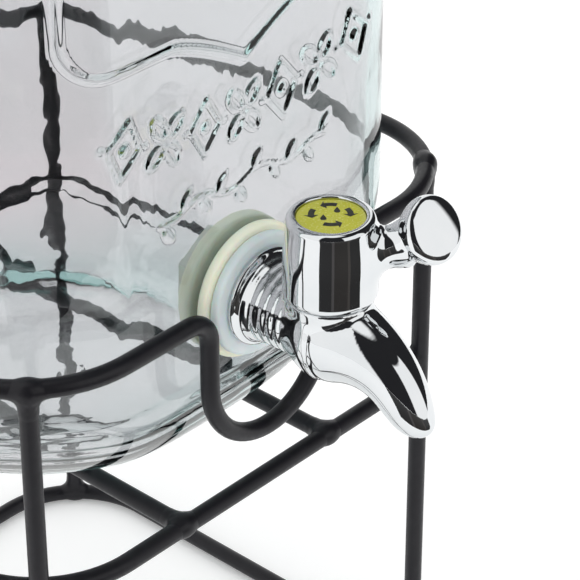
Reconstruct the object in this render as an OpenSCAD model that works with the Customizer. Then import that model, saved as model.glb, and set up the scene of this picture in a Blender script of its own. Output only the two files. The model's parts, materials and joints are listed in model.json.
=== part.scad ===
// Glass jar drink dispenser in a welded wire stand, with a quarter-turn tap.
// Z is up, the stand rests on Z = 0 and the tap points to -Y.

/* [Stand] */
// Wire diameter of every ring, leg and bar
wire_d = 6; // [5:0.5:6.5]
// Height of the top ring's wire centre
top_ring_z = 222; // [215:1:240]
// Height of the lower ring's wire centre
lower_ring_z = 146.5; // [140:0.5:150]
// Half the side of the top ring, to the wire centre
top_half = 100; // [99.5:0.5:101]
// Corner radius of the top ring
top_corner_r = 40; // [38:1:41]
// Half the side of the lower ring, to the wire centre
lower_half = 95.2; // [94.8:0.2:95.6]
// Corner radius of the lower ring
lower_corner_r = 37.5; // [36.5:0.5:38]
// Half the side of the ground ring, to the wire centre
ground_half = 99; // [98.5:0.5:99.5]
// Corner radius of the ground ring
ground_corner_r = 36.5; // [35:0.5:38]
// Distance of each support bar from the middle
bar_x = 33.6; // [25:0.2:45]
// Half the width of the dip in the top ring under the tap
dip_half = 25.7; // [24.5:0.1:28]
// Depth of the dip in the top ring
dip_depth = 51.7; // [50:0.1:54]
// Bend radius where the top ring turns down into the dip
dip_bend_r = 8.5; // [7:0.5:10]

/* [Jar] */
// Half the width of the jar body
jar_half = 91; // [90:0.5:92]
// Corner radius of the jar body in plan
jar_corner_r = 44.5; // [43:0.5:46]
// Wall thickness of the jar
jar_wall = 4.5; // [4:0.1:5]
// Thickness of the jar base
jar_base_t = 9; // [7:0.5:11]
// Height of the jar body to the top of its shoulder
jar_shoulder_h = 300; // [290:1:320]
// Outer radius of the jar neck
neck_r = 57; // [55:0.5:58]
// Height of the neck above the shoulder
neck_h = 30; // [28:1:34]
// Radius of the round hole for the tap
tap_hole_r = 8.6; // [8.4:0.1:9]

/* [Tap] */
// Height of the tap's axis
tap_z = 217; // [215:0.5:219]
// Distance of the handle's axis in front of the jar face
tap_reach = 34.2; // [33.5:0.1:35.5]
// Radius of the shank that passes through the jar wall
shank_r = 8; // [7.8:0.1:8.1]
// Radius of the chrome flange
flange_r = 16; // [15:0.5:17]
// Radius of the washers outside the jar
washer_r = 22.2; // [21:0.2:22.2]
// Thickness of each washer
washer_t = 3.5; // [3:0.1:3.6]
// Radius of the turning plug
plug_r = 8; // [7.6:0.1:8.1]
// Radius of the flow passage
flow_r = 4.5; // [4:0.1:4.8]
// Direction of the closed lever, measured from straight right towards the front
lever_angle = 48; // [40:1:55]

/* [Lid] */
// Outer radius of the screw band
band_r = 61.5; // [61.5:0.5:64]
// Height of the screw band's skirt
band_h = 22; // [20:1:24]

/* [Hidden] */
$fn = 64;
fine = 96;
soft = 28;
eps = 0.01;
wire_r = wire_d / 2;
leg_xy = 88.5;
ground_z = wire_r;
bar_z = lower_ring_z;
// jar levels
rest_gap = 0.3;
jar_z = bar_z + wire_r + rest_gap;
face_heel_h = 52;
face_heel_r = 61.8;
turned_heel_h = 82;
turned_heel_r = 95.8;
turned_half = (jar_half - jar_corner_r) * sqrt(2) + jar_corner_r;
face_shoulder_r = 34;
turned_shoulder_r = 52;
rim_z = jar_z + jar_shoulder_h + neck_h;
neck_wall = 5;
// tap levels, all measured from the jar's front face
face_y = -jar_half;
flange_y = face_y - 2 * washer_t;
tap_y = face_y - tap_reach;
barrel_r = 12.3;
barrel_top = tap_z + 11.6;
plug_bottom = tap_z - 11;
run_gap = 0.05;
seam_gap = 0.3;
hub_z = barrel_top + seam_gap;
hub_top = hub_z + 27;
disc_r = 10.4;
disc_t = 0.8;
disc_z = hub_top - 1.6;
web_z = hub_z + 15;
web_t = 3;
stem_r = 4.5;
screw_r = 1.6;
screw_head_r = 3.6;
screw_head_h = 2.4;
inner_t = 5;
inner_r = 20.5;
nut_y = face_y + jar_wall + inner_t + 0.3;
oring_r = 0.88;
lever_rise = 10;
lever_reach = 30;
pad_r = 10;
pad_t = 9;
// lid levels
seal_t = 1.2;
plate_t = 1.2;
plate_r = 57;
lid_gap = 0.05;

// a straight wire from p, running along an axis given by a rotation
module wire(p, turn, length) {
    translate(p)
        rotate(turn)
            cylinder(h = length, r = wire_r);
}

// a bend of the wire about the local Z axis
module bend(bend_r, angle) {
    rotate_extrude(angle = angle, $fn = fine)
        translate([bend_r, 0])
            circle(r = wire_r, $fn = 32);
}

// a closed rounded square of wire; the front side can be left out
module wire_square(half, corner_r, z, with_front = true) {
    run = half - corner_r;
    for (k = [0:3])
        translate([0, 0, z])
            rotate([0, 0, 90 * k]) {
                translate([run, run, 0])
                    bend(corner_r, 90);
                if (k != 3 || with_front)
                    wire([half, -run, 0], [-90, 0, 0], 2 * run);
            }
}

module ground_ring() {
    color("#1b1b1d")
        wire_square(ground_half, ground_corner_r, ground_z);
}

module lower_ring() {
    color("#1b1b1d")
        wire_square(lower_half, lower_corner_r, lower_ring_z);
}

// one half of the front side: level run, bend, drop and half of the round dip
module dip_side() {
    start = top_half - top_corner_r;
    turn_x = dip_half + dip_bend_r;
    wire([turn_x, 0, 0], [0, 90, 0], start - turn_x);
    translate([turn_x, 0, -dip_bend_r])
        rotate([90, 0, 0])
            rotate([0, 0, 90])
                bend(dip_bend_r, 90);
    wire([dip_half, 0, dip_half - dip_depth], [0, 0, 0], dip_depth - dip_half - dip_bend_r);
    translate([0, 0, dip_half - dip_depth])
        rotate([90, 0, 0])
            rotate([0, 0, -90])
                bend(dip_half, 90);
}

module top_ring() {
    color("#1b1b1d") {
        wire_square(top_half, top_corner_r, top_ring_z, false);
        translate([0, -top_half, top_ring_z]) {
            dip_side();
            mirror([1, 0, 0])
                dip_side();
        }
    }
}

module leg(sx, sy) {
    color("#1b1b1d")
        wire([sx * leg_xy, sy * leg_xy, ground_z], [0, 0, 0], top_ring_z - wire_r + 0.5 - ground_z);
}

module leg_front_left() {
    leg(-1, -1);
}

module leg_front_right() {
    leg(1, -1);
}

module leg_back_left() {
    leg(-1, 1);
}

module leg_back_right() {
    leg(1, 1);
}

module support_bar(side) {
    reach = lower_half - wire_r + 0.4;
    color("#1b1b1d")
        wire([side * bar_x, -reach, bar_z], [-90, 0, 0], 2 * reach);
}

module support_bar_left() {
    support_bar(-1);
}

module support_bar_right() {
    support_bar(1);
}

// a cone of weld metal that widens towards the wire it joins
module bead(height) {
    cylinder(h = height, r1 = wire_r + 0.15, r2 = wire_r + 1.5);
}

module weld_beads_top() {
    color("#1b1b1d")
        for (sx = [-1, 1], sy = [-1, 1])
            translate([sx * leg_xy, sy * leg_xy, top_ring_z - wire_r - 3.6])
                bead(5);
}

module weld_beads_lower() {
    mid = (leg_xy + lower_half - lower_corner_r * (1 - 1 / sqrt(2))) / 2;
    color("#1b1b1d")
        for (sx = [-1, 1], sy = [-1, 1])
            translate([sx * mid, sy * mid, lower_ring_z])
                sphere(r = wire_r + 0.8, $fn = 32);
}

module weld_beads_ground() {
    color("#1b1b1d")
        for (sx = [-1, 1], sy = [-1, 1])
            translate([sx * leg_xy, sy * leg_xy, 2 * wire_r + 3])
                mirror([0, 0, 1])
                    bead(4.4);
}

module weld_beads_bars() {
    color("#1b1b1d")
        for (sx = [-1, 1], sy = [-1, 1])
            translate([sx * bar_x, sy * (lower_half - wire_r - 3), bar_z])
                rotate([-90 * sy, 0, 0])
                    bead(3.6);
}

// half outline of the jar from its axis: a heel arc, an upright wall and a shoulder arc
module jar_side(half, heel_h, heel_r, shoulder_r, inset, floor_h) {
    wall = half - inset;
    top = jar_shoulder_h - inset;
    intersection() {
        translate([0, floor_h])
            square([wall, top - floor_h]);
        union() {
            translate([half - heel_r, heel_h])
                circle(r = heel_r - inset, $fn = 180);
            translate([0, heel_h])
                square([wall, jar_shoulder_h - shoulder_r - heel_h]);
            translate([half - shoulder_r, jar_shoulder_h - shoulder_r])
                circle(r = shoulder_r - inset, $fn = fine);
            translate([0, jar_shoulder_h - shoulder_r - eps])
                square([half - shoulder_r, shoulder_r]);
        }
    }
}

// the jar's solid shape: a rounded square in plan, turned smaller at the heel and shoulder
module jar_form(inset, floor_h) {
    run = jar_half - jar_corner_r;
    intersection() {
        union() {
            translate([-jar_half + inset, -run, floor_h])
                cube([2 * (jar_half - inset), 2 * run, jar_shoulder_h]);
            translate([-run, -jar_half + inset, floor_h])
                cube([2 * run, 2 * (jar_half - inset), jar_shoulder_h]);
            for (sx = [-1, 1], sy = [-1, 1])
                translate([sx * run, sy * run, floor_h])
                    cylinder(h = jar_shoulder_h, r = jar_corner_r - inset, $fn = fine);
        }
        for (turn = [0, 90])
            rotate([0, 0, turn])
                translate([0, jar_half, 0])
                    rotate([90, 0, 0])
                        linear_extrude(height = 2 * jar_half)
                            for (side = [0, 1])
                                mirror([side, 0])
                                    jar_side(jar_half, face_heel_h, face_heel_r, face_shoulder_r, inset, floor_h);
        rotate_extrude($fn = 128)
            jar_side(turned_half, turned_heel_h, turned_heel_r, turned_shoulder_r, inset, floor_h);
    }
}

module glass_jar() {
    color("#cfe0dc", 0.5)
        translate([0, 0, jar_z])
            difference() {
                union() {
                    jar_form(0, 0);
                    cylinder(h = jar_shoulder_h + neck_h, r = neck_r, $fn = fine);
                    // two rounds of thread under the screw band
                    for (h = [10, 17])
                        translate([0, 0, jar_shoulder_h + h])
                            rotate_extrude($fn = fine)
                                translate([neck_r, 0])
                                    circle(r = 1.2, $fn = 16);
                }
                jar_form(jar_wall, jar_base_t);
                translate([0, 0, jar_shoulder_h - 40])
                    cylinder(h = 40 + neck_h + 1, r = neck_r - neck_wall, $fn = fine);
                translate([0, -jar_half + 20, tap_z - jar_z])
                    rotate([90, 0, 0])
                        cylinder(h = 40, r = tap_hole_r);
            }
}

module lid_seal() {
    color("#e8e4d6")
        translate([0, 0, rim_z])
            difference() {
                cylinder(h = seal_t, r = neck_r, $fn = fine);
                translate([0, 0, -1])
                    cylinder(h = seal_t + 2, r = neck_r - neck_wall, $fn = fine);
            }
}

// the flat lid, with a shallow raised panel
module lid_plate() {
    color("#c9ccce")
        translate([0, 0, rim_z + seal_t]) {
            cylinder(h = plate_t, r = plate_r, $fn = fine);
            translate([0, 0, plate_t - eps])
                cylinder(h = 1.2, r1 = 44, r2 = 43, $fn = fine);
        }
}

module screw_band() {
    lip_z = rim_z + seal_t + plate_t + lid_gap;
    color("#c9ccce")
        difference() {
            union() {
                translate([0, 0, lip_z - band_h])
                    cylinder(h = band_h + 1.2, r = band_r - 1, $fn = fine);
                // rolled edge at the bottom and a raised round below the lip
                translate([0, 0, lip_z - band_h])
                    cylinder(h = 3, r = band_r, $fn = fine);
                translate([0, 0, lip_z - 3])
                    cylinder(h = 2.4, r = band_r, $fn = fine);
            }
            translate([0, 0, lip_z - band_h - 1])
                cylinder(h = band_h + 1, r = band_r - 2, $fn = fine);
            translate([0, 0, lip_z - 1])
                cylinder(h = 4, r = plate_r - 6, $fn = fine);
        }
}

// a round solid along Y, starting at y and running towards the jar
module along_y(y, length, r, z = tap_z) {
    translate([0, y, z])
        rotate([-90, 0, 0])
            cylinder(h = length, r = r);
}

module ring_y(y, length, r, hole_r) {
    difference() {
        along_y(y, length, r);
        along_y(y - 1, length + 2, hole_r);
    }
}

// a smooth value at t from 0 to 1, pulled by four control values
function blend(t, a, b, c, d) =
    a * pow(1 - t, 3) + 3 * b * t * pow(1 - t, 2) + 3 * c * t * t * (1 - t) + d * pow(t, 3);

// where the spout's middle lies at t from 0 to 1, and its radius there
function spout_y(t) = tap_y + blend(t, -1.7, -27.4, -29.4, -35.6);
function spout_z(t) = tap_z + blend(t, -1.8, 0.7, -16.6, -18.2);
function spout_r(t) = blend(t, 14.5, 7, 9.6, 4.5);

module spout_ball(t, grow) {
    translate([0, spout_y(t), spout_z(t)])
        sphere(r = spout_r(t) + grow, $fn = soft);
}

module tap_body() {
    steps = 5;
    mouth_z = tap_z - 22.2;
    mouth_r = 2.6;
    color("#d9dcdf")
        difference() {
            union() {
                along_y(flange_y - 1, face_y + 27 - flange_y, shank_r);
                along_y(flange_y - 1.6, 1.6, flange_r);
                translate([0, flange_y - 1.6 + eps, tap_z])
                    rotate([90, 0, 0])
                        cylinder(h = 6, r1 = flange_r - 0.6, r2 = 11.2);
                along_y(tap_y, flange_y - tap_y, 11.2);
                translate([0, tap_y, tap_z - 9])
                    cylinder(h = barrel_top - tap_z + 9, r = barrel_r);
                for (k = [0:steps - 1])
                    hull() {
                        spout_ball(k / steps, 0);
                        spout_ball((k + 1) / steps, 0);
                    }
            }
            // the flow passage, the plug's seat and the open mouth of the spout
            along_y(tap_y, 80, flow_r);
            translate([0, tap_y, plug_bottom - run_gap])
                cylinder(h = 60, r = plug_r + run_gap);
            for (k = [0:1])
                hull() {
                    translate([0, spout_y(0.25 + 0.3 * k), spout_z(0.25 + 0.3 * k)])
                        sphere(r = flow_r, $fn = soft);
                    translate([0, spout_y(0.55 + 0.3 * k), spout_z(0.55 + 0.3 * k)])
                        sphere(r = flow_r - 0.9, $fn = soft);
                }
            translate([0, spout_y(0.9), mouth_z - 10])
                cylinder(h = spout_z(0.85) - mouth_z + 10, r = mouth_r);
            translate([0, spout_y(0.9), mouth_z - 20])
                cylinder(h = 20, r = 14);
            translate([0, tap_y, barrel_top])
                cylinder(h = 20, r = 30);
        }
}

module outer_washer() {
    color("#dfe8ea", 0.8)
        ring_y(flange_y, washer_t, washer_r, shank_r + run_gap);
}

module outer_gasket() {
    color("#dcdcc0")
        ring_y(face_y - washer_t, washer_t, washer_r, shank_r + run_gap);
}

module inner_gasket() {
    color("#dcdcc0")
        ring_y(face_y + jar_wall + 0.3, inner_t, inner_r, shank_r + run_gap);
}

module shank_nut() {
    color("#f0f0ea")
        difference() {
            translate([0, nut_y, tap_z])
                rotate([-90, 0, 0])
                    cylinder(h = 7, r = 15.5, $fn = 6);
            along_y(nut_y - 1, 9, shank_r + run_gap);
        }
}

// the plug turns in the barrel; its cross hole lines up with the flow passage when open
module rotor_plug() {
    height = barrel_top - 0.2 - plug_bottom;
    color("#ececec")
        translate([0, tap_y, plug_bottom])
            difference() {
                union() {
                    cylinder(h = height, r = plug_r);
                    cylinder(h = web_z - plug_bottom, r = stem_r);
                }
                translate([0, 0, tap_z - plug_bottom])
                    rotate([0, 90, 0])
                        cylinder(h = 40, r = flow_r, center = true);
                for (h = [2.4, height - 2.6])
                    translate([0, 0, h])
                        oring_groove();
                translate([0, 0, web_z - plug_bottom - 9])
                    cylinder(h = 20, r = screw_r - 0.1, $fn = 32);
            }
}

module oring_groove() {
    rotate_extrude()
        translate([plug_r - 2 * oring_r, -1.1])
            square([4, 2.2]);
}

module plug_oring(h) {
    color("#2a2a2a")
        translate([0, tap_y, plug_bottom + h])
            rotate_extrude()
                translate([plug_r + run_gap - 0.02 - oring_r, 0])
                    circle(r = oring_r, $fn = 24);
}

module plug_oring_lower() {
    plug_oring(2.4);
}

module plug_oring_upper() {
    plug_oring(barrel_top - 0.2 - plug_bottom - 2.6);
}

// the hub's turned shape, bulging below the rim and rounded at its foot
module hub_form() {
    widest = 14.3;
    height = hub_top - hub_z;
    translate([0, 0, hub_z])
        rotate_extrude()
            polygon([[0, 0], [widest - 3, 0], [widest - 0.9, 1], [widest - 0.2, 3], [widest, 8],
                [widest - 0.15, 13], [widest - 0.7, 20], [widest - 1.5, height - 1],
                [widest - 2.3, height], [0, height]]);
}

// the arm rises from the hub to a thumb pad that stands upright in line with it
module lever_form() {
    root = 5;
    run = lever_reach - root;
    rise_angle = atan(lever_rise / run);
    rotate([0, 0, -lever_angle])
        translate([0, 0, hub_z + 11]) {
            translate([root, 0, 0])
                rotate([0, 90 - rise_angle, 0])
                    cylinder(h = run / cos(rise_angle) - 4, r1 = 6.4, r2 = 4.4);
            translate([lever_reach, 0, lever_rise])
                rotate([90, 0, 0])
                    rotate_extrude() {
                        translate([pad_r - pad_t / 2, 0])
                            circle(r = pad_t / 2, $fn = 40);
                        translate([0, -pad_t / 2])
                            square([pad_r - pad_t / 2, pad_t]);
                    }
        }
}

module tap_handle() {
    color("#d9dcdf")
        translate([0, tap_y, 0])
            difference() {
                union() {
                    hub_form();
                    lever_form();
                }
                translate([0, 0, disc_z])
                    cylinder(h = 10, r = disc_r + run_gap);
                translate([0, 0, web_z + web_t])
                    cylinder(h = 20, r = screw_head_r + 1);
                translate([0, 0, hub_z - 1])
                    cylinder(h = web_z - hub_z + 1, r = stem_r + 0.02);
                translate([0, 0, hub_z])
                    cylinder(h = 20, r = screw_r + 0.2, $fn = 32);
            }
}

module handle_screw() {
    color("#b8babd")
        translate([0, tap_y, web_z + web_t])
            difference() {
                union() {
                    cylinder(h = screw_head_h, r = screw_head_r, $fn = 32);
                    translate([0, 0, -web_t - 8])
                        cylinder(h = web_t + 8 + eps, r = screw_r, $fn = 32);
                }
                for (turn = [0, 90])
                    rotate([0, 0, turn])
                        translate([-2.2, -0.4, screw_head_h - 1.2])
                            cube([4.4, 0.8, 2]);
            }
}

module handle_disc() {
    color("#b9bf34")
        translate([0, tap_y, disc_z])
            cylinder(h = disc_t, r = disc_r);
}

ground_ring();
lower_ring();
top_ring();
leg_front_left();
leg_front_right();
leg_back_left();
leg_back_right();
support_bar_left();
support_bar_right();
weld_beads_top();
weld_beads_lower();
weld_beads_ground();
weld_beads_bars();
glass_jar();
lid_seal();
lid_plate();
screw_band();
tap_body();
outer_washer();
outer_gasket();
inner_gasket();
shank_nut();
rotor_plug();
plug_oring_upper();
plug_oring_lower();
tap_handle();
handle_screw();
handle_disc();
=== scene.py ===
import json
import math

import bpy
import numpy as np
from mathutils import Matrix, Vector


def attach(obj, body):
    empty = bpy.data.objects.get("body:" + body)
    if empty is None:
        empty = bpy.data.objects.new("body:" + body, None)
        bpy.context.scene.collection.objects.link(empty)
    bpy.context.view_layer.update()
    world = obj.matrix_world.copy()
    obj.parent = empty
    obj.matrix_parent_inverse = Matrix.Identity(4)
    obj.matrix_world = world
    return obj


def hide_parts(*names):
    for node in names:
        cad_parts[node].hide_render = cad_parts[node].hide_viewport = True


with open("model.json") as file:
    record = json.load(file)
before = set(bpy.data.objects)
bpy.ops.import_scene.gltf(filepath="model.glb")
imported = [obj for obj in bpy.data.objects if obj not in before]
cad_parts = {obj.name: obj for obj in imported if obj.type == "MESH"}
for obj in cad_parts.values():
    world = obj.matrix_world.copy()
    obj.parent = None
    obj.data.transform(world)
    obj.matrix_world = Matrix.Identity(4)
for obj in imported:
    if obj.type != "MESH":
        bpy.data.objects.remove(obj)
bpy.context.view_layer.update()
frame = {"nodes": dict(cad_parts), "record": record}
nodes = frame["nodes"]

# The object's own sizes, in millimetres.
MM = 0.001
WIRE_R = 3.0
TOP_Z, LOW_Z, GROUND_Z = 222.0, 146.5, 3.0
TOP_HALF, LOW_HALF, GROUND_HALF = 100.0, 95.2, 99.0
TOP_CORNER, LOW_CORNER, GROUND_CORNER = 40.0, 37.5, 36.5
LEG_XY = 88.5
LOW_CORNER_XY = 84.2
BAR_X = 33.6
JAR_Z = 149.8
JAR_HALF, JAR_CORNER = 91.0, 44.5
TURNED_R = 110.3
HEEL_H, SHOULDER_H, SHOULDER_R, NECK_H = 45.0, 248.0, 52.0, 300.0
NECK_R, NECK_IN, RIM_H = 57.0, 52.0, 330.0
WALL = 4.5
HOLE_R = 8.6
TAP_Z = 217.0
FACE_Y = -JAR_HALF
FLANGE_Y = FACE_Y - 7.0
TAP_Y = FACE_Y - 34.2
BARREL_TOP = 228.6
HUB_Z, HUB_TOP = 228.9, 255.9
DISC_R, DISC_TOP = 10.4, 255.1
LEVER_AZ = math.radians(-48)


# ---------------------------------------------------------------- mesh helpers
def mesh_object(name, verts_mm, faces, smooth=True):
    """A mesh object from points in millimetres."""
    me = bpy.data.meshes.new(name)
    me.from_pydata((np.asarray(verts_mm, float) * MM).tolist(), [], faces)
    me.validate()
    me.update()
    if smooth:
        me.polygons.foreach_set("use_smooth", [True] * len(me.polygons))
    o = bpy.data.objects.new(name, me)
    bpy.context.scene.collection.objects.link(o)
    return o


def grid_faces(rows, cols):
    """Quads of a grid of points laid row by row, closed round its columns."""
    r = np.arange(rows - 1)[:, None]
    c = np.arange(cols)[None, :]
    a = r * cols + c
    b = r * cols + (c + 1) % cols
    return np.stack([a, b, b + cols, a + cols], -1).reshape(-1, 4)


def lathe(name, profile, centre, axis="z", cols=96):
    """A turned piece from a closed profile of (radius, height) along the axis."""
    prof = np.array(profile, float)
    ang = np.linspace(0, 2 * math.pi, cols, endpoint=False)
    ring = np.stack([np.cos(ang), np.sin(ang)], -1)
    pts = np.zeros((len(prof), cols, 3))
    pts[..., 0] = prof[:, :1] * ring[None, :, 0]
    pts[..., 1] = prof[:, :1] * ring[None, :, 1]
    pts[..., 2] = prof[:, 1:]
    if axis == "-y":
        pts = np.stack([pts[..., 0], -pts[..., 2], pts[..., 1]], -1)
    pts = pts + np.array(centre, float)
    rows = len(pts)
    here = np.arange(cols)
    beside = (here + 1) % cols
    last = np.stack([(rows - 1) * cols + here, (rows - 1) * cols + beside, beside, here], -1)
    return mesh_object(name, pts.reshape(-1, 3), np.vstack([grid_faces(rows, cols), last]).tolist())


def points_mm(o):
    return np.array([v.co[:] for v in o.data.vertices]) / MM


def set_points_mm(o, points):
    o.data.vertices.foreach_set("co", (points * MM).ravel())


def rounded(points, radius, steps=6):
    """A closed outline with each corner turned into an arc."""
    out = []
    p = np.array(points, float)
    for i in range(len(p)):
        a, b, c = p[i - 1], p[i], p[(i + 1) % len(p)]
        u, v = (a - b) / np.linalg.norm(a - b), (c - b) / np.linalg.norm(c - b)
        r = min(radius, 0.45 * np.linalg.norm(a - b), 0.45 * np.linalg.norm(c - b))
        for t in np.linspace(0, 1, steps):
            out.append(((1 - t) ** 2) * (b + u * r) + 2 * t * (1 - t) * b + t * t * (b + v * r))
    return out


# ---------------------------------------------------------------- distance helpers
def smooth_min(a, b, k):
    h = np.clip(0.5 + 0.5 * (b - a) / k, 0, 1)
    return b + (a - b) * h - k * h * (1 - h)


def smooth_max(a, b, k):
    return -smooth_min(-a, -b, k)


def smooth_step(x):
    x = np.clip(x, 0, 1)
    return x * x * (3 - 2 * x)


def rounded_corner(side, end, edge):
    """Distance to a body bounded by two distances, where they meet in an edge of this radius."""
    side, end = side + edge, end + edge
    return np.minimum(np.maximum(side, end), 0) + np.hypot(np.maximum(side, 0), np.maximum(end, 0)) - edge


def capsule(p, a, b, ra, rb):
    """Distance to a rod from a to b, with rounded ends and a radius that changes evenly."""
    a, b = np.array(a, float), np.array(b, float)
    d = b - a
    t = np.clip(((p - a) @ d) / (d @ d), 0, 1)
    return np.linalg.norm(p - a - t[..., None] * d, axis=-1) - (ra + (rb - ra) * t)


def rod(p, a, b, r, edge):
    """Distance to a flat-ended cylinder from a to b, with rounded edges."""
    a, b = np.array(a, float), np.array(b, float)
    length = np.linalg.norm(b - a)
    d = (b - a) / length
    along = (p - a) @ d
    side = np.linalg.norm(p - a - along[..., None] * d, axis=-1) - r
    return rounded_corner(side, np.abs(along - length / 2) - length / 2, edge)


def curve_tube(p, centres, radii):
    """Distance to a row of balls joined into one smooth tapering tube."""
    pieces = [capsule(p, centres[i], centres[i + 1], radii[i], radii[i + 1]) for i in range(len(centres) - 1)]
    best = pieces[0]
    for d in pieces[1:]:
        best = np.minimum(best, d)
    return best


def bezier(t, *c):
    n = len(c) - 1
    return sum(math.comb(n, i) * (1 - t) ** (n - i) * t ** i * c[i] for i in range(n + 1))


def unit(azimuth, elevation):
    """A direction from its azimuth and elevation in degrees."""
    az, el = math.radians(azimuth), math.radians(elevation)
    return np.array([math.cos(el) * math.cos(az), math.cos(el) * math.sin(az), math.sin(el)])


def gradient(f, p, e=0.02):
    g = np.stack([f(p + np.eye(3)[k] * e) - f(p - np.eye(3)[k] * e) for k in range(3)], -1) / (2 * e)
    return g / np.maximum(np.linalg.norm(g, axis=-1, keepdims=True), 1e-9)


def relaxed(f, verts, faces, step, rounds):
    """The same points, evened out among their neighbours and pulled back onto the surface."""
    for _ in range(rounds):
        acc = np.zeros_like(verts)
        deg = np.zeros(len(verts))
        for i in range(4):
            np.add.at(acc, faces[:, i], verts[faces[:, (i + 1) % 4]] + verts[faces[:, i - 1]])
            np.add.at(deg, faces[:, i], 2)
        verts = verts + 0.6 * (acc / deg[:, None] - verts)
        for _ in range(2):
            verts = verts - np.clip(f(verts), -step, step)[:, None] * gradient(f, verts)
    return verts


def surface_points(f, lo, hi, step, relax=4):
    """Points and quads of the surface where f is zero: one point in each grid cell that it crosses."""
    axes = [np.arange(lo[k], hi[k] + step, step) for k in range(3)]
    grid = np.stack(np.meshgrid(*axes, indexing="ij"), -1)
    val = f(grid)
    inside = val < 0
    n = np.array(val.shape)
    total = np.zeros((*(n - 1), 3))
    count = np.zeros(tuple(n - 1))
    corners = [(i, j, k) for i in (0, 1) for j in (0, 1) for k in (0, 1)]

    def cell(a, c):
        return a[c[0]:n[0] - 1 + c[0], c[1]:n[1] - 1 + c[1], c[2]:n[2] - 1 + c[2]]

    for c in corners:
        for k in range(3):
            if c[k]:
                continue
            d = tuple(c[m] + (m == k) for m in range(3))
            va, vb = cell(val, c), cell(val, d)
            cut = cell(inside, c) != cell(inside, d)
            t = np.where(cut, va / np.where(cut, va - vb, 1), 0)[..., None]
            total += np.where(cut[..., None], cell(grid, c) * (1 - t) + cell(grid, d) * t, 0)
            count += cut
    used = count > 0
    index = -np.ones(used.shape, int)
    index[used] = np.arange(used.sum())
    verts = total[used] / count[used][:, None]
    faces = []
    for k in range(3):
        m, q = [a for a in range(3) if a != k]
        lo_s = [slice(None)] * 3
        hi_s = [slice(None)] * 3
        lo_s[k], hi_s[k] = slice(0, -1), slice(1, None)
        for a in (m, q):
            lo_s[a] = hi_s[a] = slice(1, -1)
        cut = inside[tuple(lo_s)] != inside[tuple(hi_s)]
        first = inside[tuple(lo_s)][cut]
        at = np.argwhere(cut)
        at[:, m] += 1
        at[:, q] += 1

        def cell_point(dm, dq):
            w = at.copy()
            w[:, m] -= dm
            w[:, q] -= dq
            return index[w[:, 0], w[:, 1], w[:, 2]]

        quad = np.stack([cell_point(1, 1), cell_point(0, 1), cell_point(0, 0), cell_point(1, 0)], -1)
        flip = first if k != 1 else ~first
        quad[~flip] = quad[~flip][:, ::-1]
        faces.append(quad)
    faces = np.vstack(faces)
    return relaxed(f, verts, faces, step, relax), faces


def surface(name, *args, **kw):
    verts, faces = surface_points(*args, **kw)
    return mesh_object(name, verts, faces.tolist())


# ---------------------------------------------------------------- the jar's outline
def body_half(h):
    """Half width between the jar's flat faces, at height h above its base."""
    heel_h, heel_r = 52, 61.8
    top_h, top_r = 266, 34
    r = np.full_like(h, JAR_HALF)
    r = np.where(h < heel_h, JAR_HALF - heel_r + np.sqrt(np.maximum(heel_r ** 2 - (heel_h - h) ** 2, 0)), r)
    return np.where(h > top_h, JAR_HALF - top_r + np.sqrt(np.maximum(top_r ** 2 - (h - top_h) ** 2, 0)), r)


def body_turned(h):
    """Radius of the jar's turned outline, which rounds its heel and shoulder."""
    heel_h, heel_r = 82, 95.8
    over, under = h - SHOULDER_H, heel_h - h
    r = np.full_like(h, TURNED_R)
    r = np.where(under > 0, TURNED_R - heel_r + np.sqrt(np.maximum(heel_r ** 2 - under ** 2, 0)), r)
    return np.where(over > 0, TURNED_R - SHOULDER_R + np.sqrt(np.maximum(SHOULDER_R ** 2 - over ** 2, 0)), r)


def plan_radius(theta, h, inset=0.0):
    """Distance from the axis to the jar's surface."""
    u = np.maximum(np.abs(np.cos(theta)), np.abs(np.sin(theta)))
    v = np.minimum(np.abs(np.cos(theta)), np.abs(np.sin(theta)))
    half, corner = JAR_HALF - inset, JAR_CORNER - inset
    run = half - corner
    m = run * (u + v)
    arc = m + np.sqrt(np.maximum(m * m - 2 * run * run + corner * corner, 0))
    square = np.where(half * v / u <= run, half / u, arc)
    faces = (body_half(h) - inset) / u
    round_r = body_turned(h) - inset
    soft = 1 - smooth_step((h - HEEL_H) / 37) + smooth_step((h - SHOULDER_H) / 20)
    r = smooth_min(smooth_min(square + 0 * h, faces, 0.1 + 2 * soft), round_r + 1.2, 0.1 + 5 * soft)
    top = smooth_step((h - 284) / 15)
    return r * (1 - top) + round_r * top


def wave(theta, h, seed=1.7):
    """The slow unevenness of pressed glass, as waves of some turns round the jar and some length up it."""
    out = 0
    for k, (n, length, amp) in enumerate(((3, 95, 0.16), (7, 61, 0.12), (13, 43, 0.07), (22, 27, 0.04))):
        up = np.sin(h / length * 2 * math.pi + seed * (2.1 + k))
        out = out + amp * np.sin(n * theta + seed * (k + 1.3)) * up
    return out


def flow(theta, h):
    """Long soft ridges inside the heel, where the glass flowed into the mould."""
    fade = smooth_step((46 - h) / 14) * smooth_step((h - 2) / 5)
    broad = 0.42 * np.sin(h * 1.05 + 1.4 * np.sin(3 * theta + 1))
    fine = 0.22 * np.sin(h * 1.9 + 2.0 * np.sin(5 * theta))
    return fade * (broad + fine)


# ---------------------------------------------------------------- the jar's moulded relief
def ridge(d, half_width, height):
    """A rounded raised line, at distance d from its middle."""
    return height * np.where(d < half_width, 0.5 + 0.5 * np.cos(math.pi * d / half_width), 0)


def segment(x, z, x0, z0, x1, z1):
    t = np.clip(((x - x0) * (x1 - x0) + (z - z0) * (z1 - z0)) / ((x1 - x0) ** 2 + (z1 - z0) ** 2), 0, 1)
    return np.hypot(x - x0 - t * (x1 - x0), z - z0 - t * (z1 - z0))


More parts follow.
